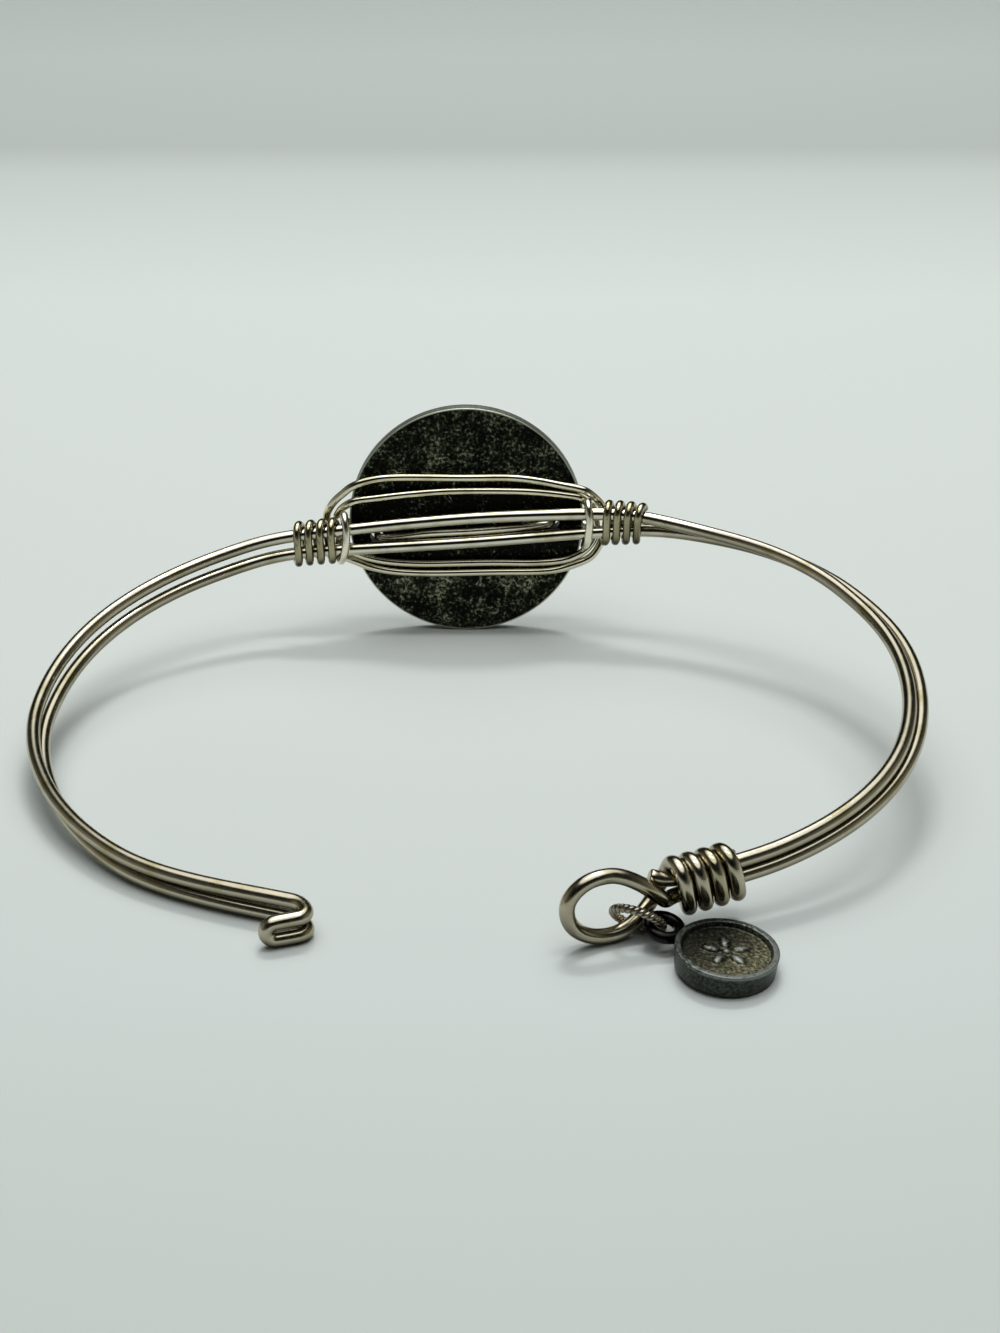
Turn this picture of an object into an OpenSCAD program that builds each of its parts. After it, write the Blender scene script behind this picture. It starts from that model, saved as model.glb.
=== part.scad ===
// Wire bangle with a round disc, bound on with thin wire, and a small tag on a
// twisted ring. It stands as it lies on a table: Z up, the disc at the back.

/* [Band] */
// Half of the bangle's width, along the middle of its wire
band_half_w = 31.4; // [29.5:0.1:33.5]
// Depth of the oval from its middle to the back
band_back = 23.6; // [22:0.1:25.2]
// Depth of the oval from its middle to the front
band_front = 22.7; // [21.5:0.1:24]
// Degrees that the oval is turned on the table, seen from above
band_turn = -4.1; // [-8:0.1:0]
// Degrees that the band rises towards its right side
band_rise = 4.1; // [2:0.1:6]
// Height of the strands' middle where they cross the disc
band_h = 9.33; // [8.9:0.01:9.8]
// Diameter of the main wire
wire_d = 1.02; // [0.9:0.01:1.06]

/* [Disc] */
// Diameter of the disc
disc_d = 19.05; // [18.4:0.05:20.4]
// Thickness of the disc
disc_t = 1.2; // [0.9:0.05:1.6]
// Degrees that the disc leans back
disc_lean = 3; // [1:0.5:6]
// Diameter of the two holes in the disc
hole_d = 1.1; // [1:0.05:1.3]

/* [Binding] */
// Diameter of the thin wire
thin_d = 0.64; // [0.5:0.01:0.7]
// Step between the turns of the left binding
left_step = 0.93; // [0.76:0.01:1]
// Step between the turns of the right binding
right_step = 0.86; // [0.76:0.01:0.95]
// Turns of each binding
thin_turns = 4; // [3:1:4]

/* [Hook and eye] */
// Height between the two strands at the hook
hook_gap = 1.25; // [1.14:0.01:1.5]
// Tight bend radius at the hook's tip, seen from above
hook_r = 0.7; // [0.6:0.01:0.9]
// Straight length of the hook's near leg
hook_leg = 1.4; // [1:0.05:2]
// Length of the eye from the coil's end
eye_l = 7.05; // [6.7:0.05:7.6]
// Turns of the main wire round the strands at the eye
coil_turns = 4; // [3:1:5]

/* [Ring and tag] */
// Diameter of the twisted ring, along the middle of its wire
ring_d = 3.24; // [3.14:0.02:3.3]
// Thickness of the twisted ring
ring_t = 0.6; // [0.45:0.01:0.66]
// Diameter of the tag
tag_d = 6.5; // [5.6:0.05:7]
// Thickness of the tag
tag_t = 1.46; // [1.1:0.01:1.7]
// Width of the tag's raised rim
rim_w = 0.4; // [0.25:0.05:0.7]
// Depth of the tag's dished face below its rim
dish = 0.35; // [0.15:0.05:0.6]
// Degrees that the tag's left side is tipped up
tag_tip = 3.5; // [2.5:0.25:5]
// Thickness of the tag's cast loop
loop_t = 0.8; // [0.66:0.02:0.84]

/* [Hidden] */

wire_r = wire_d / 2;
thin_r = thin_d / 2;
gap = 0.03;
up = [0, 0, 1];

// Sides of a main and of a thin wire, and steps in one turn of a coil.
wire_sides = 10;
thin_sides = 8;
coil_steps = 12;

// How square the oval's back and front halves are (2 is an ellipse).
back_square = 2.24;
front_square = 2.17;
oval_y = 2.2;

// Places on the oval, in degrees round it: the eye's coil and the hook.
coil_at = -50.75;
hook_at = 242;

function unit(v) = v / norm(v);
function soft_min(a, b, k) = min(a, b) - pow(max(k - abs(a - b), 0), 2) / (4 * k);

// A smooth curve through hand-chosen points, n steps from one point to the next.
function curve_at(p, i, k) =
    let (last = len(p) - 1)
    let (a = p[max(i - 1, 0)], b = p[i], c = p[min(i + 1, last)], d = p[min(i + 2, last)])
    0.5 * (2 * b + (c - a) * k + (2 * a - 5 * b + 4 * c - d) * k * k + (3 * b - a - 3 * c + d) * k * k * k);
function curve(p, n) = [for (i = [0:len(p) - 2], j = [0:n - 1]) curve_at(p, i, j / n), p[len(p) - 1]];

// The same for a table whose first column is the place t.
function row_before(table, t) = max([for (i = [0:len(table) - 2]) if (i == 0 || table[i][0] <= t) i]);
function read_table(table, t, column) =
    let (i = row_before(table, t))
    let (k = min(max((t - table[i][0]) / (table[i + 1][0] - table[i][0]), 0), 1))
    curve_at([for (row = table) row[column]], i, k);

// Directions along a path, and a side direction carried along it without twist.
function along(p) = [for (i = [0:len(p) - 1]) unit(p[min(i + 1, len(p) - 1)] - p[max(i - 1, 0)])];
function square_to(v, t) = unit(v - t * (v * t));
function first_side(t) = square_to(abs(t[2]) < 0.8 ? up : [0, 1, 0], t);
function sides_of(t) =
    [for (i = 0, s = first_side(t[0]); i < len(t); i = i + 1, s = i < len(t) ? square_to(s, t[i]) : s) s];

// A round wire along a path, its cut ends slightly rounded.
module wire(path, r, sides) {
    t = along(path);
    s = sides_of(t);
    n = len(path);
    dress = 0.25 * r;
    middles = concat([path[0]], [path[0] + t[0] * dress], [for (i = [1:n - 2]) path[i]],
        [path[n - 1] - t[n - 1] * dress], [path[n - 1]]);
    tangents = concat([t[0]], t, [t[n - 1]]);
    around = concat([s[0]], s, [s[n - 1]]);
    radii = [for (i = [0:n + 1]) i == 0 || i == n + 1 ? 0.75 * r : r];
    tube(middles, tangents, around, radii, sides);
}

module tube(middles, t, s, radii, sides) {
    n = len(middles);
    points = [for (i = [0:n - 1], j = [0:sides - 1])
        let (a = 360 * (j + 0.5) / sides)
        middles[i] + radii[i] * (cos(a) * s[i] + sin(a) * cross(t[i], s[i]))];
    walls = [for (i = [0:n - 2], j = [0:sides - 1])
        let (a = i * sides + j, b = i * sides + (j + 1) % sides)
        each [[a, a + sides, b], [b, a + sides, b + sides]]];
    caps = [[for (j = [0:sides - 1]) j], [for (j = [sides - 1:-1:0]) (n - 1) * sides + j]];
    polyhedron(points, concat(walls, caps));
}

// The oval is bent by hand: how far its course runs outside (or inside) a true one.
hand_bends = [
    // t, outwards
    [-43, 0], [-37, 0.1], [-28, 0.2], [-18, 0.2], [-8, 0.1], [0, 0.08], [5, 0], [10, -0.12],
    [15, -0.28], [21, -0.4], [27, -0.27], [32, -0.18], [38, -0.06], [45, 0], [52, 0], [178, 0],
    [184, 0], [189, -0.16], [193, -0.26], [198, -0.35], [203, -0.28], [208, -0.18], [214, 0], [218, 0.14], [222, 0.2],
    [228, 0.1], [235, 0]];

// The band's course: the oval, t degrees round it from the right side.
function oval(t) =
    let (back = sin(t) > 0)
    let (p = back ? back_square : front_square, depth = back ? band_back : band_front)
    let (whole = pow(pow(abs(cos(t)) / band_half_w, p) + pow(abs(sin(t)) / depth, p), -1 / p))
    let (r = whole + read_table(hand_bends, t, 1))
    [cos(band_turn) * r * cos(t) - sin(band_turn) * r * sin(t),
     oval_y + sin(band_turn) * r * cos(t) + cos(band_turn) * r * sin(t)];

// Over the disc the strands run straight along its back face.
disc_y = oval(95)[1] - 1.9;
function plan(t) = let (p = oval(t)) [p[0], soft_min(p[1], disc_y, 0.8)];

// The hook's strands rest on the table, so the band's slope follows from them.
hook_h = wire_r + hook_gap / 2;
hook_drop = 0.13;
rise = tan(band_rise);
hook_plan = plan(hook_at);
bow_h = 0.38;
slope = (band_h - bow_h + rise * hook_plan[0] - hook_h - hook_drop) / (disc_y - hook_plan[1]);
function level(p) = band_h - bow_h + rise * p[0] + slope * (p[1] - disc_y);

// Over the disc the strands bow up a little.
function bow(t) = bow_h * max(0, 1 - pow((t - 94) / 45, 2));
// Under the coil they are bent up a little.
coil_lift = 0.15;
function lift(t) = coil_lift * max(0, min(1, (-42 - t) / 3.5));
function mid(t) = let (p = plan(t)) [p[0], p[1], level(p) + bow(t) + lift(t)];
function heading(t) = unit(mid(t + 0.5) - mid(t - 0.5));
// The place s millimetres on from place t.
function go_on(t, s) = t + s / norm(mid(t + 0.5) - mid(t - 0.5));

// The two strands lie side by side as a ribbon: where along the oval, the degrees
// that its upper strand leans outwards, and the strands' spacing in wire diameters.
ribbon = [
    // t, lean, spacing
    [-56, -7, 1.04], [-45, -7, 1.04], [-32, -10, 1.05], [-22, -18, 1.1], [-11, -40, 1.1],
    [0, -60, 1.06], [10, -70, 1.04], [22, -68, 1.04], [34, -59, 1.04], [46, -52, 1.04],
    [56, -32, 1.08], [65, -5, 1.44], [78, 2, 1.76], [94, 3, 2.02], [110, 3, 1.85],
    [123.5, 4, 1.5], [138, 9, 1.43], [150, 16, 1.35], [163, 29, 1.3], [172, 40, 1.22],
    [180, 42, 1.12], [188, 35, 1.06], [196, 27, 1.05], [206, 17, 1.05], [217, 5, 1.06],
    [230, 0, 1.1], [242, 0, hook_gap / wire_d]];

function ribbon_up(t) =
    let (lean = read_table(ribbon, t, 1), h = heading(t))
    let (out = unit([h[1], -h[0], 0]), over = unit(cross(out, h)))
    sin(lean) * out + cos(lean) * over;
function strand(t, side) = mid(t) + side * read_table(ribbon, t, 2) * wire_d / 2 * ribbon_up(t);
function half_gap(t) = read_table(ribbon, t, 2) * wire_d / 2;

// The hook: from the band's end the two strands turn to the front in a wide bend, then in a
// tight one, run back to the left and join in an upright fold.
hook_from = mid(hook_at);
hook_in = atan2(heading(hook_at)[1], heading(hook_at)[0]);
hook_lead = 1.8;
wide_r = 1.6;
wide_bend = 60;
tight_bend = 85;
function flat(a) = [cos(a), sin(a), 0];
function right_of(a) = [sin(a), -cos(a), 0];
hook_start = [hook_from[0], hook_from[1], 0] + hook_lead * flat(hook_in);
function wide_at(b) = hook_start + wide_r * (right_of(hook_in) - right_of(hook_in - b));
function tight_at(b) =
    let (a = hook_in - wide_bend)
    wide_at(wide_bend) + hook_r * (right_of(a) - right_of(a - b));
hook_plan_points = concat([for (k = [0:3]) wide_at(k * wide_bend / 4)],
    [for (k = [0:5]) tight_at(k * tight_bend / 5)]);
hook_out = hook_in - wide_bend - tight_bend;
hook_last = len(hook_plan_points) - 1;
function hook_line(side, i) =
    hook_plan_points[i] + (hook_h + hook_drop * (1 - i / hook_last) / 2 + side * hook_gap / 2) * up;
hook_side = [for (i = [0:hook_last]) hook_line(1, i)];
hook_back = [for (i = [hook_last:-1:0]) hook_line(-1, i)];
hook_end = hook_plan_points[hook_last] + hook_h * up + hook_leg * flat(hook_out);
hook_fold = [for (a = [90:-22.5:-90]) hook_end + hook_gap / 2 * (cos(a) * flat(hook_out) + sin(a) * up)];

// The eye and the coil behind it: the coil is wound round both strands.
coil_r = wire_d + 2 * gap;
coil_step = wire_d + 0.06;
coil_l = coil_turns * coil_step;
coil_dir = -heading(coil_at);
neck = mid(go_on(coil_at, -coil_l / 2));
eye_yaw = 3;
eye_dir = unit([coil_dir[0] * cos(eye_yaw) - coil_dir[1] * sin(eye_yaw),
                coil_dir[1] * cos(eye_yaw) + coil_dir[0] * sin(eye_yaw), 0]);
eye_front = cross(up, eye_dir);
eye_k = eye_l / 7.05;
function eye_at(p) = neck + p[0] * eye_k * eye_dir + p[1] * up + p[2] * eye_front;

// Hand-chosen points of the eye: along it from the neck, up, and to the front.
eye_points = [
    [0.46, -0.62, 0.42], [0.8, -0.24, 0.6], [1.65, 0.58, 0.64], [2.3, 1.1, 0.52], [3.1, 1.56, 0.3],
    [3.95, 1.83, 0.1], [4.85, 1.9, 0.1], [5.73, 1.73, 0.1], [6.5, 1.23, 0.1], [6.95, 0.58, 0.1],
    [7.05, -0.07, 0.1], [6.95, -0.72, 0.1], [6.63, -1.37, 0.1], [6.05, -1.95, 0.1],
    [5.2, -2.39, 0.1], [4.3, -2.55, 0.1], [3.55, -2.51, 0.08], [2.95, -2.35, 0.02],
    [2.4, -2.08, -0.08], [1.75, -1.64, -0.28], [1.05, -1.2, -0.62], [0.5, -0.62, -0.95]];

// The coil starts behind the neck, goes over the top and down the front.
function coil_point(k) =
    let (a = 360 * k / coil_steps)
    let (t = go_on(coil_at, coil_step * (k / coil_steps - 0.25) + wire_r - coil_l / 2))
    let (over = ribbon_up(t), front = cross(heading(t), over))
    mid(t) + over * (coil_r * sin(a) + half_gap(t) * sign(sin(a))) - front * coil_r * cos(a);
coil_points = [for (k = [0.5:1:coil_turns * coil_steps + 1]) coil_point(k)];

// The main wire from cut end to cut end.
cut_end = [eye_at([1.3, 0.96, -0.4]), eye_at([0.7, 0.68, -0.2])];
strand_step = 4.5;
from_t = coil_at - 4.1;
upper = [for (t = [from_t:strand_step:hook_at - 0.5]) strand(t, 1)];
lower = [for (i = [len(upper) - 1:-1:0]) strand(from_t + i * strand_step, -1)];
main_path = concat(cut_end, upper, hook_side, hook_fold, hook_back, lower,
    curve([for (p = eye_points) eye_at(p)], 2), coil_points);

module band_wire() {
    color([0.78, 0.76, 0.7]) wire(main_path, wire_r, wire_sides);
}

// The disc: flat faces, a fine rounding at the rim, two drilled holes.
disc_r = disc_d / 2;
disc_x = -0.64;
disc_z = disc_r * cos(disc_lean) + disc_t / 2 * sin(disc_lean);
strand_d = wire_r + thin_d + 0.05;
// A place on the disc's back face: to the right, up the face, and off it to the front.
disc_mid_y = disc_y + (strand_d + disc_t / 2) * cos(disc_lean) + (disc_z - band_h) * sin(disc_lean);
function on_disc(u, w, d) = [
    disc_x + u,
    disc_mid_y + w * sin(disc_lean) - (d + disc_t / 2) * cos(disc_lean),
    disc_z + w * cos(disc_lean) + (d + disc_t / 2) * sin(disc_lean)];
// How far up the face the strands' middle lies, and the holes with it.
strand_w = (band_h - disc_z) / cos(disc_lean);
left_hole = [-0.767 * disc_r, strand_w - 1.09];
right_hole = [0.7375 * disc_r, strand_w + 0.11];
edge_round = 0.12;

module disc() {
    color([0.2, 0.2, 0.19])
    translate([disc_x, disc_mid_y, disc_z])
    rotate([90 - disc_lean, 0, 0])
    difference() {
        rotate_extrude($fn = 96)
            polygon([[0, -disc_t / 2], [disc_r - edge_round, -disc_t / 2],
                [disc_r, -disc_t / 2 + edge_round], [disc_r, disc_t / 2 - edge_round],
                [disc_r - edge_round, disc_t / 2], [0, disc_t / 2]]);
        for (hole = [left_hole, right_hole])
            translate([hole[0], hole[1], 0])
                cylinder(d = hole_d, h = disc_t + 2, center = true, $fn = 24);
    }
}

// The bindings stand beside the disc, their middles this many disc radii out from its middle.
left_bound = -1.2872;
right_bound = 1.3256;
strand_places = [for (t = [40:0.5:145]) [plan(t)[0], t]];
left_at = lookup(disc_x + left_bound * disc_r, strand_places);
right_at = lookup(disc_x + right_bound * disc_r, strand_places);

// A turn of thin wire round both strands, k turns on from place t on the oval.
bind_r = wire_r + thin_r + 2 * gap;
bind_steps = 12;
function bind_point(t0, k, step) =
    let (t = go_on(t0, step * k), over = ribbon_up(t), a = 360 * k)
    mid(t) + over * (bind_r * sin(a) + half_gap(t) * sign(sin(a)))
        + cross(heading(t), over) * bind_r * cos(a);
function bind_turns(t, step) =
    [for (i = [0:thin_turns * bind_steps - 1])
        bind_point(t, (i + 0.5) / bind_steps - thin_turns / 2, step)];

module left_binding() {
    color([0.78, 0.76, 0.68]) wire(bind_turns(left_at, left_step), thin_r, thin_sides);
}

module right_binding() {
    color([0.78, 0.76, 0.68]) wire(bind_turns(right_at, right_step), thin_r, thin_sides);
}

// The lashings: two loops of thin wire, one inside the other, lie on the disc's back
// above and below the strands and pass behind them past the disc's sides.
// Places are to the right of the disc's middle, in disc radii, up its face from the strands'
// middle, and off its back. What lies round the strands keeps to their course.
face_d = thin_r + 0.04;
strand_course = [for (t = [40:1:145]) plan(t)];
function stand_off(u) = disc_y - lookup(disc_x + u, strand_course);
function lash(points) = [for (p = points)
    let (u = p[0] * disc_r, round_strands = abs(p[0]) > 1 ? max(0, min(1, p[2])) : 0)
    on_disc(u, p[1] + strand_w, p[2] + round_strands * stand_off(u))];
outer_loop = [
    [-1.2, -0.27, -0.52], [-1.197, 0.61, -0.4],
    [-1.165, 1.36, -0.15], [-1.113, 2.06, 0.05], [-1.048, 2.64, 0.2],
    [-0.986, 3.19, 0.32], [-0.899, 3.59, face_d], [-0.787, 3.89, face_d], [-0.63, 4.08, face_d],
    [-0.315, 4.08, face_d], [0, 4.04, face_d], [0.315, 4.08, face_d], [0.483, 3.98, face_d],
    [0.651, 3.74, face_d], [0.798, 3.44, face_d], [0.924, 3.2, face_d], [1.016, 2.93, face_d],
    [1.081, 2.43, 0.24], [1.144, 1.76, 0], [1.186, 0.96, -0.35], [1.197, 0.01, -0.5],
    [1.186, -0.89, -0.42], [1.15, -1.79, -0.15], [1.081, -2.74, 0.15], [0.989, -3.17, 0.34],
    [0.891, -3.52, face_d], [0.787, -3.83, face_d], [0.63, -4.01, face_d], [0.315, -4.04, face_d],
    [0, -4.1, face_d], [-0.315, -4.16, face_d], [-0.577, -4.06, face_d], [-0.7349, -3.83, face_d],
    [-0.861, -3.5, face_d], [-0.945, -3.14, 0.34], [-1.018, -2.94, 0.18], [-1.092, -2.74, -0.08],
    [-1.155, -2.09, -0.4], [-1.186, -1.19, -0.52]];
inner_loop = [
    [-1.113, 0.51, -0.35], [-1.076, 1.21, -0.05], [-1.018, 1.73, 0.3], [-0.934, 2.13, face_d],
    [-0.787, 2.3, face_d], [-0.562, 2.58, face_d], [-0.22, 2.88, face_d], [0, 2.94, face_d],
    [0.315, 2.94, face_d], [0.546, 2.88, face_d], [0.7349, 2.72, face_d], [0.85, 2.57, face_d],
    [0.943, 2.44, face_d], [0.992, 2.21, 0.34], [1.029, 1.81, 0.05], [1.058, 1.31, -0.3],
    [1.097, 0.61, -0.46], [1.115, -0.19, -0.5], [1.113, -0.89, -0.45], [1.087, -1.54, -0.28],
    [1.043, -2.03, 0.02], [0.991, -2.35, 0.35], [0.934, -2.69, face_d], [0.84, -3, face_d],
    [0.7139, -3.16, face_d], [0.525, -3.24, face_d], [0.283, -3.2, face_d], [0, -3.24, face_d],
    [-0.315, -3.32, face_d], [-0.577, -3.24, face_d], [-0.7664, -3, face_d], [-0.892, -2.66, face_d],
    [-0.971, -2.31, 0.37], [-1.027, -2.09, 0], [-1.071, -1.64, -0.4], [-1.113, -0.89, -0.5],
    [-1.118, -0.19, -0.52]];

module outer_lashing() {
    color([0.78, 0.76, 0.68]) wire(curve(lash(outer_loop), 2), thin_r, thin_sides);
}

module inner_lashing() {
    color([0.78, 0.76, 0.68]) wire(curve(lash(inner_loop), 2), thin_r, thin_sides);
}

// The staple: once round the strands on the left, along the disc's front, through
// both holes, along the front again and once round the strands on the right.
// Between the holes it bulges out, as far as the strands do.
bulge_d = face_d + 0.55;
front_d = -disc_t - thin_r - 0.04;
staple = [
    [-1.087, -0.89, 0.3], [-1.092, -1.89, 0.3], [-1.088, -2.59, 0.62], [-1.073, -2.81, 1.25],
    [-1.045, -2.19, 1.9], [-1.024, -1.39, 2.08], [-1.013, -0.29, 2.08], [-1.018, 0.61, 1.9],
    [-1.034, 1.16, 1.4], [-1.041, 1.06, 0.85], [-1.041, 0.61, 0.5], [-1.041, 0.16, 0.15],
    [-1.044, -0.09, -0.4], [-1.046, -0.21, -1.02], [-1.027, -0.35, -1.45], [-0.976, -0.51, front_d],
    [-0.882, -0.85, front_d], [-0.808, -1.06, front_d], [-0.7664, -1.09, front_d + 0.4],
    [-0.7643, -1.09, -0.5], [-0.7454, -1.08, face_d - 0.25], [-0.693, -1.05, face_d + 0.03],
    [-0.567, -0.95, face_d + 0.15], [-0.315, -0.47, bulge_d], [0, -0.34, bulge_d],
    [0.288, -0.12, bulge_d], [0.527, -0.06, face_d + 0.2], [0.664, 0.09, face_d + 0.03], [0.716, 0.11, face_d - 0.25],
    [0.7349, 0.11, -0.5], [0.737, 0.11, front_d + 0.4], [0.779, 0.04, front_d],
    [0.876, -0.21, front_d], [0.974, -0.5, front_d], [1.027, -0.63, -1.45], [1.046, -0.75, -1.02],
    [1.039, -0.89, -0.4], [1.033, -1.14, 0.25], [1.013, -1.44, 0.75], [1.008, -1.44, 1.3],
    [1.024, -0.94, 1.97], [1.039, -0.09, 2.15], [1.045, 1.11, 2.18], [1.034, 2.03, 1.95],
    [1.029, 2.33, 1.3], [1.062, 2.06, 0.76], [1.083, 1.36, 0.42], [1.087, 0.51, 0.36]];

module disc_staple() {
    color([0.78, 0.76, 0.68]) wire(curve(lash(staple), 2), thin_r, thin_sides);
}

// The tag: a shallow dish with drafted walls, and a cast loop at its edge.
tag_r = tag_d / 2;
draft = 0.12;
tag_foot_r = tag_r - draft;
tag_z = tag_foot_r * sin(tag_tip);
loop_at = 143.5;
loop_tilt = 9.4;
loop_ring_r = 1.02;
loop_sunk = 0.14;
loop_h = tag_t / 2 - 0.03;
tag_mid = [neck[0] + 3.13, neck[1] - 4.475, tag_z];

module tag() {
    color([0.3, 0.31, 0.29])
    translate(tag_mid)
    rotate([0, tag_tip, 0]) {
        rotate_extrude($fn = 72)
            polygon([[0, 0], [tag_foot_r - 0.1, 0], [tag_foot_r, 0.1], [tag_r, tag_t - 0.1],
                [tag_r - 0.1, tag_t], [tag_r - rim_w, tag_t], [tag_r - rim_w - 0.1, tag_t - dish],
                [0, tag_t - dish]]);
        rotate([0, 0, loop_at]) translate([tag_r, 0, loop_h]) rotate([0, -loop_tilt, 0])
            translate([loop_ring_r + loop_t / 2 - loop_sunk, 0, 0])
                rotate_extrude($fn = 32) translate([loop_ring_r, 0]) circle(d = loop_t, $fn = 14);
    }
}

// The ring is two wires twisted together: its section is two lobes that turn as it goes round.
ring_mid = [neck[0] - 2.07, neck[1] - 1.23, 1.57];
ring_yaw = -19.2;
ring_roll = 6.5;
ring_pitch = 51.7;
ring_twists = 20;
ring_steps = 120;
ring_sides = 10;
lobe = 0.34;
ring_x = [cos(ring_yaw) * cos(ring_roll), sin(ring_yaw) * cos(ring_roll), -sin(ring_roll)];
ring_y = square_to([sin(ring_yaw) * cos(ring_pitch), -cos(ring_yaw) * cos(ring_pitch),
    sin(ring_pitch)], ring_x);
function ring_in(a) = ring_x * cos(a) + ring_y * sin(a);

module twisted_ring() {
    flat_side = unit(cross(ring_in(0), ring_in(90)));
    points = [for (i = [0:ring_steps - 1], j = [0:ring_sides - 1])
        let (a = 360 * i / ring_steps, b = 360 * j / ring_sides, c = b + 180 * ring_twists * i / ring_steps)
        let (r = ring_t / 2 * (1 - lobe * pow(sin(b), 2)))
        ring_mid + ring_in(a) * (ring_d / 2 + r * cos(c)) + flat_side * r * sin(c)];
    half_turn = ring_sides / 2 * (ring_twists % 2);
    function at(i, j) = i < ring_steps ? i * ring_sides + j % ring_sides : (j + half_turn) % ring_sides;
    color([0.75, 0.75, 0.72])
    polyhedron(points, [for (i = [0:ring_steps - 1], j = [0:ring_sides - 1])
        each [[at(i, j), at(i, j + 1), at(i + 1, j)], [at(i, j + 1), at(i + 1, j + 1), at(i + 1, j)]]]);
}

disc();
band_wire();
left_binding();
right_binding();
outer_lashing();
inner_lashing();
disc_staple();
twisted_ring();
tag();
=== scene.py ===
import math

import bpy
from mathutils import Matrix, Vector


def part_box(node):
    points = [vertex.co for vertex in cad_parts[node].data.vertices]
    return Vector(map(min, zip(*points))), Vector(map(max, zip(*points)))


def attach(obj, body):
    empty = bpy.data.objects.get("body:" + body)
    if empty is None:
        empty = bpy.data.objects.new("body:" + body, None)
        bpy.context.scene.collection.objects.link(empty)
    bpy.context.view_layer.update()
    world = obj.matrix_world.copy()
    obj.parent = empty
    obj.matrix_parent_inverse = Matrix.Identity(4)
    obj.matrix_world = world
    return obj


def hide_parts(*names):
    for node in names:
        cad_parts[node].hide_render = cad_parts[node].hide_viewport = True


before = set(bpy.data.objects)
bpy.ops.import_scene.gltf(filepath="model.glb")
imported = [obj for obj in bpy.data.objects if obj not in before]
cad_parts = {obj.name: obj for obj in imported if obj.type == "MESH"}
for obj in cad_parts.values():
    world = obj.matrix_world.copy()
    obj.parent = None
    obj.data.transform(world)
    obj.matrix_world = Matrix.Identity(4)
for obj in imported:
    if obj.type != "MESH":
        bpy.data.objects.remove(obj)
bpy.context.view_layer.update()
bpy.ops.object.select_all(action="DESELECT")
MM = 0.001

# The view. The bangle lies on a table and is seen from the front and a little above, with
# the disc standing at the back.
VIEW_FROM = Vector((2.1, -125.9, 71.93)) * MM
LOOK_DOWN = math.radians(26.58)
LENS_MM = 54.01
camera_data = bpy.data.cameras.new("view")
camera_data.sensor_fit = "VERTICAL"
camera_data.sensor_height = 36
camera_data.lens = LENS_MM
camera_data.clip_start = 0.01
camera = bpy.data.objects.new("view", camera_data)
camera.location = VIEW_FROM
camera.rotation_euler = (math.pi / 2 - LOOK_DOWN, 0, 0)
bpy.context.collection.objects.link(camera)
bpy.context.scene.camera = camera
bpy.context.scene.view_settings.view_transform = "Standard"


# The table is a sheet of matt, slightly green white card. It is lit by a soft ceiling and two
# lamps, one overhead and one behind the bangle; its colour is painted darker towards the front and in a
# band at the back, painted shade.
def linear(hex_colour):
    parts = [int(hex_colour[i:i + 2], 16) / 255 for i in (1, 3, 5)]
    return tuple(c / 12.92 if c <= 0.04045 else ((c + 0.055) / 1.055) ** 2.4 for c in parts) + (1.0,)


def add(tree, kind, values=(), links=(), stops=(), **settings):
    node = tree.nodes.new(kind)
    for name, value in settings.items():
        setattr(node, name, value)
    for socket, value in dict(values).items():
        node.inputs[socket].default_value = value
    for socket, source in dict(links).items():
        tree.links.new(source, node.inputs[socket])
    while len(stops) > len(node.color_ramp.elements if stops else ()):
        node.color_ramp.elements.new(0.5)
    for i, (at, colour) in enumerate(stops):
        node.color_ramp.elements[i].position = at
        node.color_ramp.elements[i].color = linear(colour)
    return node


def new_material(name):
    material = bpy.data.materials.new(name)
    material.use_nodes = True
    tree = material.node_tree
    return material, tree, tree.nodes["Principled BSDF"]


TABLE_SIZE = 1.6
TABLE_MIDDLE_Y = 0.35
ROOM_LIGHT = 1.54
LAMP_HEIGHT = 0.5
LAMP_DEPTH = 0.05
bpy.ops.mesh.primitive_plane_add(size=TABLE_SIZE, location=(0, TABLE_MIDDLE_Y, 0))
bpy.ops.object.transform_apply(location=True, scale=True)
table = bpy.context.object
table.name = "table"
card, tree, shader = new_material("matt_white_card")
place = add(tree, "ShaderNodeTexCoord")
depth = add(tree, "ShaderNodeSeparateXYZ", links={"Vector": place.outputs["Object"]})
far = add(tree, "ShaderNodeMapRange", {"From Min": -60 * MM, "From Max": 300 * MM}, {
    "Value": depth.outputs["Y"]})
# Painted shade: the card darker towards the front and in a band at the back.
tone = add(tree, "ShaderNodeValToRGB", links={"Fac": far.outputs["Result"]}, stops=[
    (0.017, "#c5cdc8"), (0.092, "#cfd6d4"), (0.217, "#d8deda"), (0.506, "#dee5e2"), (0.6, "#d8dfdc"),
    (0.7, "#d0d7d4"), (0.756, "#c0c7c3"), (0.99, "#cad2cd")])
tree.links.new(tone.outputs["Color"], shader.inputs["Base Color"])
shader.inputs["Roughness"].default_value = 0.55
shader.inputs["Specular IOR Level"].default_value = 0.3
table.data.materials.append(card)

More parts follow.
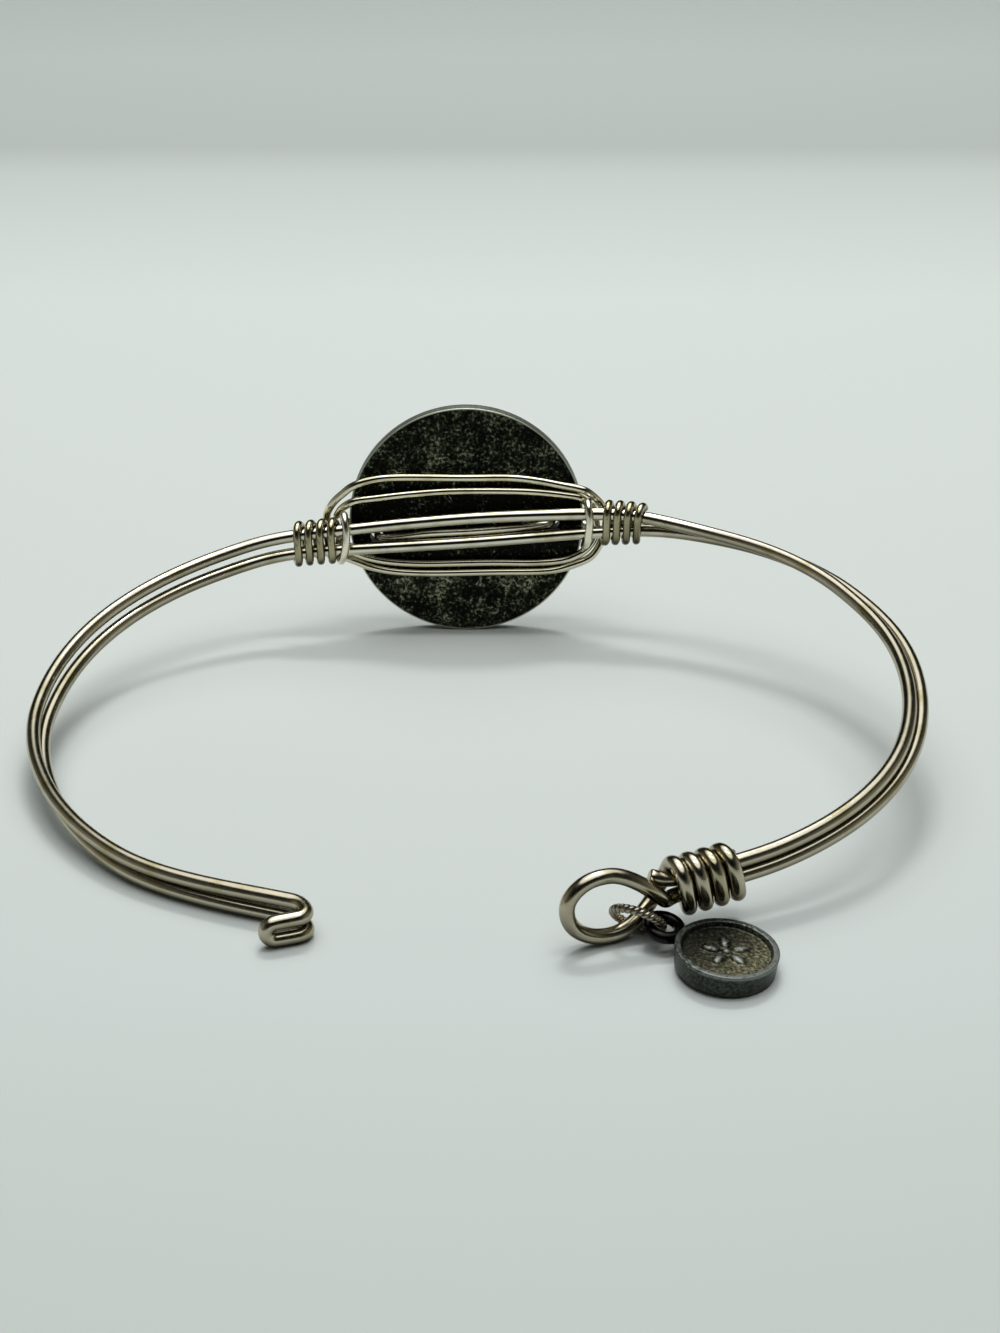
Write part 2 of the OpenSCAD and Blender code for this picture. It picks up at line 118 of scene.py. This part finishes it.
# The room: a soft white ceiling over the table, dark further down, with dim olive side walls.
world = bpy.data.worlds.new("soft_room")
bpy.context.scene.world = world
world.use_nodes = True
tree = world.node_tree
sky = add(tree, "ShaderNodeTexCoord")
height = add(tree, "ShaderNodeVectorMath", {1: (0, 0.12, 0.993)}, {0: sky.outputs["Generated"]},
             operation="DOT_PRODUCT")
sideways = add(tree, "ShaderNodeSeparateXYZ", links={"Vector": sky.outputs["Generated"]})
square = add(tree, "ShaderNodeMath", {1: 2.0}, {0: sideways.outputs["X"]}, operation="POWER")
narrow = add(tree, "ShaderNodeMath", {1: -0.35}, {0: square.outputs["Value"], 2: height.outputs["Value"]},
             operation="MULTIPLY_ADD")
ceiling = add(tree, "ShaderNodeValToRGB", links={"Fac": narrow.outputs["Value"]}, stops=[
    (0.0, "#3a3c3a"), (0.08, "#0c0c0c"), (0.64, "#0d0e0d"), (0.71, "#70726f"), (0.77, "#fbfdfc")])
far_sides = add(tree, "ShaderNodeMath", {1: 6.0}, {0: sideways.outputs["X"]}, operation="POWER")
walls = add(tree, "ShaderNodeMix", {"B": linear("#7d7b70")}, {
    "Factor": far_sides.outputs["Value"], "A": ceiling.outputs["Color"]},
    data_type="RGBA", blend_type="LIGHTEN")
tree.links.new(walls.outputs["Result"], tree.nodes["Background"].inputs["Color"])
tree.nodes["Background"].inputs["Strength"].default_value = ROOM_LIGHT

for name, across, depth_at, watts in (("top_lamp", 0.3, 0.0, 0.5), ("back_lamp", 0.15, 0.24, 0.7)):
    lamp_data = bpy.data.lights.new(name, "AREA")
    lamp_data.shape = "RECTANGLE"
    lamp_data.size = across
    lamp_data.size_y = LAMP_DEPTH
    lamp_data.energy = watts
    lamp = bpy.data.objects.new(name, lamp_data)
    lamp.location = (0.01, depth_at, LAMP_HEIGHT)
    lamp.rotation_euler = (-math.atan2(depth_at, LAMP_HEIGHT), 0, 0)
    bpy.context.collection.objects.link(lamp)


# The disc is cast pewter, 19 mm across and 1.2 mm thick, its edge slightly rounded, with two
# drilled holes. It stands on its edge and leans back a little.
DISC_R = 9.525
DISC_T = 1.2
DISC_LEAN = math.radians(3)
EDGE_ROUND = 0.13
HOLE_R = 0.55
HOLES = ((-0.767 * DISC_R, -1.304), (0.7375 * DISC_R, -0.104))
low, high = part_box("disc")
disc_middle = (Vector(low) + Vector(high)) / 2

bpy.ops.mesh.primitive_cylinder_add(vertices=144, radius=DISC_R * MM, depth=DISC_T * MM)
disc = bpy.context.object
disc.name = "cast_disc"
bpy.ops.object.mode_set(mode="EDIT")
bpy.ops.mesh.select_mode(type="FACE")
bpy.ops.mesh.select_all(action="DESELECT")
bpy.ops.object.mode_set(mode="OBJECT")
for face in disc.data.polygons:
    face.select = abs(face.normal.z) > 0.9
bpy.ops.object.mode_set(mode="EDIT")
bpy.ops.mesh.bevel(offset=EDGE_ROUND * MM, segments=4, affect="EDGES")
bpy.ops.object.mode_set(mode="OBJECT")
for across, up in HOLES:
    bpy.ops.mesh.primitive_cylinder_add(vertices=32, radius=HOLE_R * MM, depth=4 * MM,
                                        location=(across * MM, up * MM, 0))
    drill = bpy.context.object
    hole = disc.modifiers.new("hole", "BOOLEAN")
    hole.operation = "DIFFERENCE"
    hole.object = drill
    bpy.ops.object.select_all(action="DESELECT")
    disc.select_set(True)
    bpy.context.view_layer.objects.active = disc
    bpy.ops.object.modifier_apply(modifier="hole")
    bpy.data.objects.remove(drill)
disc.matrix_world = Matrix.Translation(disc_middle) @ Matrix.Rotation(math.pi / 2 - DISC_LEAN, 4, "X")
bpy.ops.object.transform_apply(location=True, rotation=True)
bpy.ops.object.shade_smooth_by_angle(angle=math.radians(35))

# Blackened pewter, sanded before it was dipped: it is almost black, with grey metal showing
# through in fine specks and a few scratches, and worn bare along its edge. Painted shade darkens its
# middle, where the strands cross it, against its top and bottom, and a painted highlight lightens its edge.
blackened_pewter, tree, shader = new_material("blackened_sanded_pewter")
place = add(tree, "ShaderNodeTexCoord")
own = add(tree, "ShaderNodeMapping", {"Location": disc_middle}, {"Vector": place.outputs["Object"]},
          vector_type="TEXTURE")
specks = add(tree, "ShaderNodeTexNoise", {"Scale": 3.8 / MM, "Detail": 4, "Roughness": 0.66},
             {"Vector": own.outputs["Vector"]})
patches = add(tree, "ShaderNodeTexNoise", {"Scale": 0.62 / MM, "Detail": 3},
              {"Vector": own.outputs["Vector"]})
split = add(tree, "ShaderNodeSeparateXYZ", links={"Vector": own.outputs["Vector"]})
from_middle = add(tree, "ShaderNodeMath", links={0: split.outputs["Z"]}, operation="ABSOLUTE")
# Painted shade: darker across the middle behind the strands, lighter at the top and bottom.
strand_shade = add(tree, "ShaderNodeMapRange", {
    "From Min": 2.4 * MM, "From Max": 5.2 * MM, "To Min": -0.07, "To Max": 0.02}, {
    "Value": from_middle.outputs["Value"]})
clouds = add(tree, "ShaderNodeMapRange", {
    "From Min": 0.3, "From Max": 0.7, "To Min": -0.09, "To Max": 0.09}, {"Value": patches.outputs["Fac"]})
both = add(tree, "ShaderNodeMath", links={0: specks.outputs["Fac"], 1: clouds.outputs["Result"]},
           operation="ADD")
shown = add(tree, "ShaderNodeMath", links={0: both.outputs["Value"], 1: strand_shade.outputs["Result"]},
            operation="ADD")
tone = add(tree, "ShaderNodeValToRGB", links={"Fac": shown.outputs["Value"]}, stops=[
    (0.46, "#090a07"), (0.54, "#22261b"), (0.61, "#4b503d"), (0.7, "#8c917a")])
scratches = add(tree, "ShaderNodeTexVoronoi", {"Scale": 0.33 / MM}, {"Vector": own.outputs["Vector"]},
                feature="DISTANCE_TO_EDGE")
hairline = add(tree, "ShaderNodeMapRange", {"From Min": 0.0, "From Max": 0.012, "To Min": 1, "To Max": 0},
               {"Value": scratches.outputs["Distance"]})
few = add(tree, "ShaderNodeMapRange", {"From Min": 0.6, "From Max": 0.66},
          {"Value": patches.outputs["Fac"]})
scratch = add(tree, "ShaderNodeMath", links={0: hairline.outputs["Result"], 1: few.outputs["Result"]},
              operation="MULTIPLY")
distance = add(tree, "ShaderNodeVectorMath", links={0: own.outputs["Vector"]}, operation="LENGTH")
# Worn metal with a painted highlight: the bevel round the edge light, the outer rim a lighter grey.
edge = add(tree, "ShaderNodeMapRange", {"From Min": 9.39 * MM, "From Max": 9.45 * MM},
           {"Value": distance.outputs["Value"]})
bare_and_highlight = add(tree, "ShaderNodeMath", links={0: scratch.outputs["Value"], 1: edge.outputs["Result"]},
           operation="MAXIMUM")
outside = add(tree, "ShaderNodeMapRange", {"From Min": 9.51 * MM, "From Max": 9.53 * MM},
              {"Value": distance.outputs["Value"]})
bare_and_highlight_tone = add(tree, "ShaderNodeMix", {"A": linear("#c4c8b6"), "B": linear("#6d7067")}, {
    "Factor": outside.outputs["Result"]}, data_type="RGBA")
colour = add(tree, "ShaderNodeMix", {}, {
    "Factor": bare_and_highlight.outputs["Value"], "A": tone.outputs["Color"], "B": bare_and_highlight_tone.outputs["Result"]},
    data_type="RGBA")
tree.links.new(colour.outputs["Result"], shader.inputs["Base Color"])
shader.inputs["Metallic"].default_value = 0.9
rough = add(tree, "ShaderNodeMapRange", {"From Min": 0.4, "From Max": 0.6, "To Min": 0.6, "To Max": 0.42},
            {"Value": specks.outputs["Fac"]})
tree.links.new(rough.outputs["Result"], shader.inputs["Roughness"])
grain = add(tree, "ShaderNodeBump", {"Strength": 0.35, "Distance": 0.03 * MM},
            {"Height": specks.outputs["Fac"]})
tree.links.new(grain.outputs["Normal"], shader.inputs["Normal"])
disc.data.materials.append(blackened_pewter)
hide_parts("disc")
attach(disc, "root")


# The band is one length of drawn and polished nickel silver wire, 18 gauge, bent double: a
# folded hook on the left, an eye on the right, and four turns of the wire's own end round
# both strands behind the eye.
BAND_MM = 1.02


def round_wire(node_name, wire_mm, sides):
    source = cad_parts[node_name]
    wire = source.copy()
    wire.data = source.data.copy()
    wire.name = node_name + "_round"
    wire.animation_data_clear()
    bpy.context.collection.objects.link(wire)
    bpy.ops.object.select_all(action="DESELECT")
    bpy.context.view_layer.objects.active = wire
    wire.select_set(True)
    wire.hide_render = False
    wire.hide_set(False)
    bpy.ops.object.mode_set(mode="EDIT")
    bpy.ops.mesh.select_mode(type="VERT")
    bpy.ops.mesh.select_all(action="SELECT")
    bpy.ops.mesh.remove_doubles(threshold=0.002 * MM)
    bpy.ops.mesh.tris_convert_to_quads(face_threshold=math.pi, shape_threshold=math.pi)
    # Rounding draws a ring of so many sides in by this much, so the wire is swollen first.
    shrunk = 2 / 3 + math.cos(2 * math.pi / sides) / 3
    bpy.ops.transform.shrink_fatten(value=(1 / shrunk - 1) * wire_mm / 2 * MM)
    bpy.ops.object.mode_set(mode="OBJECT")
    rounding = wire.modifiers.new("rounding", "SUBSURF")
    rounding.levels = 2
    rounding.render_levels = 2
    bpy.ops.object.modifier_apply(modifier="rounding")
    bpy.ops.object.shade_smooth()
    wire.data.materials.clear()
    # Painted shade: how far each point faces down, so that the colour can be darkened underneath.
    underside = wire.data.attributes.new("underside", "FLOAT", "POINT")
    underside.data.foreach_set("value", [
        min(1, max(0, 0.3 - 1.5 * vertex.normal.z)) for vertex in wire.data.vertices])
    return wire


# Polished nickel silver: a warm white metal, almost a mirror, with faint olive tarnish in patches
# and fine marks from the pliers. Beyond a given distance from the disc's middle its colour is painted
# browner, painted shade, and it is rougher; its underside is painted darker, painted shade, most of all
# away from the disc.
def drawn_wire_metal(name, colour, far_shade_colour, tarnish, underside_shade_colour, tarnish_from, roughness, shade_from):
    material, tree, shader = new_material(name)
    place = add(tree, "ShaderNodeTexCoord")
    patches = add(tree, "ShaderNodeTexNoise", {"Scale": 0.42 / MM, "Detail": 4},
                  {"Vector": place.outputs["Object"]})
    amount = add(tree, "ShaderNodeMapRange", {"From Min": tarnish_from, "From Max": tarnish_from + 0.25},
                 {"Value": patches.outputs["Fac"]})
    from_disc = add(tree, "ShaderNodeVectorMath", {1: disc_middle}, {0: place.outputs["Object"]},
                    operation="DISTANCE")
    # Painted shade: 0 near the disc, 1 further out; it browns the colour and also makes the wire rougher.
    far_from_disc = add(tree, "ShaderNodeMapRange", {"From Min": shade_from, "From Max": shade_from + 8 * MM},
                  {"Value": from_disc.outputs["Value"]})
    shaded_by_distance = add(tree, "ShaderNodeMix", {"A": linear(colour), "B": linear(far_shade_colour)},
                {"Factor": far_from_disc.outputs["Result"]}, data_type="RGBA")
    tint = add(tree, "ShaderNodeMix", {"B": linear(tarnish)},
               {"Factor": amount.outputs["Result"], "A": shaded_by_distance.outputs["Result"]}, data_type="RGBA")
    # Painted shade on the underside, stronger further from the disc.
    below = add(tree, "ShaderNodeAttribute", attribute_name="underside")
    shade_strength = add(tree, "ShaderNodeMapRange", {"To Min": 0.4}, {"Value": far_from_disc.outputs["Result"]})
    painted_shade = add(tree, "ShaderNodeMath", links={0: below.outputs["Fac"], 1: shade_strength.outputs["Result"]},
               operation="MULTIPLY")
    with_painted_shade = add(tree, "ShaderNodeMix", {"B": linear(underside_shade_colour)}, {
        "Factor": painted_shade.outputs["Value"], "A": tint.outputs["Result"]}, data_type="RGBA")
    tree.links.new(with_painted_shade.outputs["Result"], shader.inputs["Base Color"])
    shader.inputs["Metallic"].default_value = 1
    wear = add(tree, "ShaderNodeTexNoise", {"Scale": 3.5 / MM, "Detail": 3},
               {"Vector": place.outputs["Object"]})
    rough = add(tree, "ShaderNodeMapRange", {"From Min": 0.35, "From Max": 0.65, "To Min": roughness * 0.85,
                "To Max": roughness * 1.25}, {"Value": wear.outputs["Fac"]})
    rougher = add(tree, "ShaderNodeMapRange", {"To Min": 1, "To Max": 2.1},
                  {"Value": far_from_disc.outputs["Result"]})
    finish = add(tree, "ShaderNodeMath", links={0: rough.outputs["Result"], 1: rougher.outputs["Result"]},
                 operation="MULTIPLY")
    tree.links.new(finish.outputs["Value"], shader.inputs["Roughness"])
    marks = add(tree, "ShaderNodeBump", {"Strength": 0.04, "Distance": 0.015 * MM},
                {"Height": wear.outputs["Fac"]})
    tree.links.new(marks.outputs["Normal"], shader.inputs["Normal"])
    return material


band = round_wire("band_wire", BAND_MM, 10)
band.data.materials.append(drawn_wire_metal(
    "polished_nickel_silver", colour="#e6e2d0", far_shade_colour="#bdb5a0", tarnish="#a0996f", underside_shade_colour="#5a5340",
    tarnish_from=0.5, roughness=0.08, shade_from=12 * MM))
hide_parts("band_wire")
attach(band, "root")

# The bindings, the two lashing loops and the staple are thinner wire of the same metal,
# 22 gauge, wound by hand with pliers.
THIN_MM = 0.64
thin_metal = drawn_wire_metal(
    "polished_thin_wire", colour="#e8e3cb", far_shade_colour="#d2cbb4", tarnish="#b9b088", underside_shade_colour="#6c6548",
    tarnish_from=0.55, roughness=0.08, shade_from=12 * MM)
# The same wire where it is wound: yellower and darker, with painted shade that turns its undersides between
# the turns near black and browns it from closer to the disc.
shaded_wound_metal = drawn_wire_metal(
    "shaded_wound_thin_wire", colour="#d3cdb0", far_shade_colour="#b9b292", tarnish="#948b66", underside_shade_colour="#2e281b",
    tarnish_from=0.48, roughness=0.08, shade_from=5 * MM)
# And where it is pressed flat between the strands: painted lighter than the other thin wire, painted light,
# with only a faint painted shade underneath, and rubbed a little rougher.
lit_staple_metal = drawn_wire_metal(
    "lit_staple_wire", colour="#f4efdc", far_shade_colour="#f4efdc", tarnish="#cfc7a4", underside_shade_colour="#b5ae90",
    tarnish_from=0.55, roughness=0.2, shade_from=12 * MM)
for name, metal in (("left_binding", shaded_wound_metal), ("right_binding", shaded_wound_metal),
                    ("outer_lashing", thin_metal), ("inner_lashing", thin_metal),
                    ("disc_staple", lit_staple_metal)):
    wire = round_wire(name, THIN_MM, 8)
    wire.data.materials.append(metal)
    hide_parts(name)
    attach(wire, "root")


# The small ring is a rope of two silver wires, each 0.4 mm thick, twisted tightly round each
# other and closed. It hangs in the eye and carries the tag.
RING_R = 1.62
ROPE_WIRE_R = 0.19
TWIST_R = 0.11
TWISTS = 14
ROPE_POINTS = 336
low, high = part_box("twisted_ring")
ring_middle = (Vector(low) + Vector(high)) / 2
# Which way it lies in the eye.
yaw, roll, pitch = (math.radians(angle) for angle in (-19.2, 6.5, 51.7))
ring_x = Vector((math.cos(yaw) * math.cos(roll), math.sin(yaw) * math.cos(roll), -math.sin(roll)))
ring_y = Vector((math.sin(yaw) * math.cos(pitch), -math.cos(yaw) * math.cos(pitch), math.sin(pitch)))
ring_y = (ring_y - ring_x * ring_y.dot(ring_x)).normalized()
ring_flat = ring_x.cross(ring_y)
rope = bpy.data.curves.new("rope", "CURVE")
rope.dimensions = "3D"
rope.bevel_depth = ROPE_WIRE_R * MM
rope.bevel_resolution = 3
for start in (0.0, math.pi):
    strand = rope.splines.new("POLY")
    strand.points.add(ROPE_POINTS - 1)
    strand.use_cyclic_u = True
    for i, point in enumerate(strand.points):
        round_it = 2 * math.pi * i / ROPE_POINTS
        turned = start + TWISTS * round_it
        out = ring_x * math.cos(round_it) + ring_y * math.sin(round_it)
        spot = ring_middle + (out * (RING_R + TWIST_R * math.cos(turned))
                              + ring_flat * TWIST_R * math.sin(turned)) * MM
        point.co = (*spot, 1)
ring = bpy.data.objects.new("rope_ring", rope)
bpy.context.collection.objects.link(ring)
bpy.ops.object.select_all(action="DESELECT")
ring.select_set(True)
bpy.context.view_layer.objects.active = ring
bpy.ops.object.convert(target="MESH")
ring = bpy.context.object
bpy.ops.object.shade_smooth()

# Silver wire, bright on its crests and dark with old polish in its grooves.
rope_silver, tree, shader = new_material("twisted_silver_wire")
place = add(tree, "ShaderNodeTexCoord")
ring_turn = Matrix((ring_x, ring_y, ring_flat)).transposed().to_euler()
own = add(tree, "ShaderNodeMapping", {"Location": ring_middle, "Rotation": ring_turn},
          {"Vector": place.outputs["Object"]}, vector_type="TEXTURE")
split = add(tree, "ShaderNodeSeparateXYZ", links={"Vector": own.outputs["Vector"]})
flat_place = add(tree, "ShaderNodeVectorMath", {1: (1, 1, 0)}, {0: own.outputs["Vector"]},
                 operation="MULTIPLY")
out_from_middle = add(tree, "ShaderNodeVectorMath", links={0: flat_place.outputs["Vector"]},
                      operation="LENGTH")
off_line = add(tree, "ShaderNodeMath", {1: RING_R * MM}, {0: out_from_middle.outputs["Value"]},
               operation="SUBTRACT")
across = add(tree, "ShaderNodeCombineXYZ", links={"X": off_line.outputs["Value"], "Z": split.outputs["Z"]})
from_core = add(tree, "ShaderNodeVectorMath", links={0: across.outputs["Vector"]}, operation="LENGTH")
crest = add(tree, "ShaderNodeMapRange", {"From Min": 0.2 * MM, "From Max": 0.29 * MM}, {
    "Value": from_core.outputs["Value"]})
tint = add(tree, "ShaderNodeMix", {"A": linear("#17120e"), "B": linear("#a39b89")}, {
    "Factor": crest.outputs["Result"]}, data_type="RGBA")
tree.links.new(tint.outputs["Result"], shader.inputs["Base Color"])
shader.inputs["Metallic"].default_value = 1
wear = add(tree, "ShaderNodeTexNoise", {"Scale": 4 / MM, "Detail": 3}, {"Vector": place.outputs["Object"]})
rough = add(tree, "ShaderNodeMapRange", {"To Min": 0.16, "To Max": 0.4}, {"Value": wear.outputs["Fac"]})
tree.links.new(rough.outputs["Result"], shader.inputs["Roughness"])
ring.data.materials.append(rope_silver)
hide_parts("twisted_ring")
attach(ring, "root")


# The tag is a small cast disc, 6.5 mm across, with a raised rim round a sunk floor and a
# plain cast loop at its edge. It lies face up on the table, its left side tipped up.
TAG_R = 3.25
TAG_T = 1.46
RIM_W = 0.4
RIM_SLOPE = 0.1
DISH = 0.35
TAG_DRAFT = 0.12
TAG_TIP = math.radians(3.5)
tag_middle = Vector((15.9482, -23.9353, 0.1911)) * MM
LOOP_R = 1.02
LOOP_WIRE_R = 0.4
LOOP_OUT = 1.28
LOOP_DROP = 0.03
LOOP_TURN = math.radians(143.5)
LOOP_TILT = math.radians(-9.4)
FLOOR = TAG_T - DISH
PETALS_OUT = 0.98
PETALS_TURN = 20
PETAL_SIZE = (0.62, 0.36, 0.22, 1)
HEART_SIZE = (0.3, 0.3, 0.22, 1)

bpy.ops.mesh.primitive_cylinder_add(vertices=120, radius=TAG_R * MM, depth=TAG_T * MM,
                                    location=(0, 0, TAG_T / 2 * MM))
tag = bpy.context.object
tag.name = "cast_tag"
bpy.ops.object.transform_apply(location=True)
bpy.ops.object.mode_set(mode="EDIT")
bpy.ops.mesh.select_mode(type="FACE")
bpy.ops.mesh.select_all(action="DESELECT")
bpy.ops.object.mode_set(mode="OBJECT")
for face in tag.data.polygons:
    face.select = face.normal.z < -0.9
bpy.ops.object.mode_set(mode="EDIT")
bpy.ops.transform.resize(value=(1 - TAG_DRAFT / TAG_R, 1 - TAG_DRAFT / TAG_R, 1))
bpy.ops.mesh.select_all(action="DESELECT")
bpy.ops.object.mode_set(mode="OBJECT")
for face in tag.data.polygons:
    face.select = face.normal.z > 0.9
bpy.ops.object.mode_set(mode="EDIT")
bpy.ops.mesh.inset(thickness=RIM_W * MM, use_even_offset=True)
bpy.ops.mesh.inset(thickness=RIM_SLOPE * MM, depth=-DISH * MM, use_even_offset=True)
bpy.ops.object.mode_set(mode="OBJECT")

pieces = [tag]
bpy.ops.mesh.primitive_torus_add(major_segments=64, minor_segments=24, major_radius=LOOP_R * MM,
                                 minor_radius=LOOP_WIRE_R * MM, location=(0, 0, 0))
loop = bpy.context.object
loop.matrix_world = (Matrix.Rotation(LOOP_TURN, 4, "Z")
                     @ Matrix.Translation((TAG_R * MM, 0, (TAG_T / 2 - LOOP_DROP) * MM))
                     @ Matrix.Rotation(LOOP_TILT, 4, "Y") @ Matrix.Translation((LOOP_OUT * MM, 0, 0)))
pieces.append(loop)
for k in range(5):
    turn = math.radians(72 * k + PETALS_TURN)
    bpy.ops.mesh.primitive_uv_sphere_add(segments=24, ring_count=16, radius=1 * MM)
    petal = bpy.context.object
    petal.matrix_world = (Matrix.Rotation(turn, 4, "Z")
                          @ Matrix.Translation((PETALS_OUT * MM, 0, FLOOR * MM))
                          @ Matrix.Diagonal(PETAL_SIZE))
    pieces.append(petal)
bpy.ops.mesh.primitive_uv_sphere_add(segments=24, ring_count=16, radius=1 * MM)
heart = bpy.context.object
heart.matrix_world = Matrix.Translation((0, 0, FLOOR * MM)) @ Matrix.Diagonal(HEART_SIZE)
pieces.append(heart)
bpy.ops.object.select_all(action="DESELECT")
for piece in pieces:
    piece.select_set(True)
bpy.context.view_layer.objects.active = tag
bpy.ops.object.join()
cast = tag.modifiers.new("cast", "REMESH")
cast.mode = "VOXEL"
cast.voxel_size = 0.05 * MM
bpy.ops.object.modifier_apply(modifier="cast")
soften = tag.modifiers.new("soften", "SMOOTH")
soften.factor = 0.5
soften.iterations = 3
bpy.ops.object.modifier_apply(modifier="soften")
tag.matrix_world = Matrix.Translation(tag_middle) @ Matrix.Rotation(TAG_TIP, 4, "Y")
bpy.ops.object.transform_apply(location=True, rotation=True)
bpy.ops.object.shade_smooth()

# The same pewter, blackened and then rubbed: its rim and the raised flower are worn grey, with a painted
# highlight making them lighter towards the front right;
# its floor is finely mottled and painted darkest at the back left, painted shade; and the loop stays nearly
# black.
rubbed_pewter, tree, shader = new_material("blackened_rubbed_pewter")
place = add(tree, "ShaderNodeTexCoord")
own = add(tree, "ShaderNodeMapping", {"Location": tag_middle, "Rotation": (0, TAG_TIP, 0)},
          {"Vector": place.outputs["Object"]}, vector_type="TEXTURE")
split = add(tree, "ShaderNodeSeparateXYZ", links={"Vector": own.outputs["Vector"]})
flat_place = add(tree, "ShaderNodeVectorMath", {1: (1, 1, 0)}, {0: own.outputs["Vector"]},
                 operation="MULTIPLY")
distance = add(tree, "ShaderNodeVectorMath", links={0: flat_place.outputs["Vector"]}, operation="LENGTH")
mottle = add(tree, "ShaderNodeTexNoise", {"Scale": 4.6 / MM, "Detail": 4, "Roughness": 0.62},
             {"Vector": own.outputs["Vector"]})
# Painted shade and highlight: darker towards the back left, lighter towards the front right.
slant = add(tree, "ShaderNodeVectorMath", {1: (0.7, -0.7, 0)}, {0: own.outputs["Vector"]},
            operation="DOT_PRODUCT")
side = add(tree, "ShaderNodeMapRange", {
    "From Min": -2.6 * MM, "From Max": 1.8 * MM, "To Min": -0.24, "To Max": 0.1}, {
    "Value": slant.outputs["Value"]})
mottle_and_shade = add(tree, "ShaderNodeMath", links={0: mottle.outputs["Fac"], 1: side.outputs["Result"]},
                 operation="ADD")
floor_tone = add(tree, "ShaderNodeValToRGB", links={"Fac": mottle_and_shade.outputs["Value"]}, stops=[
    (0.3, "#131410"), (0.46, "#37372b"), (0.6, "#615e48"), (0.72, "#928e74")])
wall_tone = add(tree, "ShaderNodeValToRGB", links={"Fac": mottle.outputs["Fac"]}, stops=[
    (0.4, "#1f221e"), (0.62, "#464a43")])
on_floor = add(tree, "ShaderNodeMapRange", {"From Min": 2.87 * MM, "From Max": 2.74 * MM},
               {"Value": distance.outputs["Value"]})
dark = add(tree, "ShaderNodeMix", {}, {
    "Factor": on_floor.outputs["Result"], "A": wall_tone.outputs["Color"],
    "B": floor_tone.outputs["Color"]}, data_type="RGBA")
high_up = add(tree, "ShaderNodeMapRange", {"From Min": 1.17 * MM, "From Max": 1.31 * MM},
              {"Value": split.outputs["Z"]})
near_rim = add(tree, "ShaderNodeMapRange", {"From Min": 3.35 * MM, "From Max": 3.25 * MM},
               {"Value": distance.outputs["Value"]})
worn = add(tree, "ShaderNodeMath", links={0: high_up.outputs["Result"], 1: near_rim.outputs["Result"]},
           operation="MULTIPLY")
uneven_and_lit = add(tree, "ShaderNodeMapRange", {"From Min": 0.36, "From Max": 0.56, "To Min": 0.08},
             {"Value": mottle_and_shade.outputs["Value"]})
worn_and_lit = add(tree, "ShaderNodeMath", links={0: worn.outputs["Value"], 1: uneven_and_lit.outputs["Result"]},
               operation="MULTIPLY")
worn_and_lit_colour = add(tree, "ShaderNodeMix", {"B": linear("#777c76")}, {
    "Factor": worn_and_lit.outputs["Value"], "A": dark.outputs["Result"]}, data_type="RGBA")
on_loop = add(tree, "ShaderNodeMapRange", {"From Min": 3.28 * MM, "From Max": 3.45 * MM},
              {"Value": distance.outputs["Value"]})
colour = add(tree, "ShaderNodeMix", {"B": linear("#141413")}, {
    "Factor": on_loop.outputs["Result"], "A": worn_and_lit_colour.outputs["Result"]}, data_type="RGBA")
tree.links.new(colour.outputs["Result"], shader.inputs["Base Color"])
shader.inputs["Metallic"].default_value = 0.85
rough = add(tree, "ShaderNodeMapRange", {"From Min": 0.35, "From Max": 0.65, "To Min": 0.34, "To Max": 0.5},
            {"Value": mottle.outputs["Fac"]})
smoother = add(tree, "ShaderNodeMapRange", {"To Min": 1, "To Max": 0.5},
               {"Value": on_loop.outputs["Result"]})
gloss = add(tree, "ShaderNodeMath", links={0: rough.outputs["Result"], 1: smoother.outputs["Result"]},
            operation="MULTIPLY")
tree.links.new(gloss.outputs["Value"], shader.inputs["Roughness"])
pits = add(tree, "ShaderNodeTexNoise", {"Scale": 5.2 / MM, "Detail": 3}, {"Vector": own.outputs["Vector"]})
grain = add(tree, "ShaderNodeBump", {"Strength": 0.3, "Distance": 0.03 * MM},
            {"Height": pits.outputs["Fac"]})
tree.links.new(grain.outputs["Normal"], shader.inputs["Normal"])
tag.data.materials.append(rubbed_pewter)
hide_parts("tag")
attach(tag, "root")
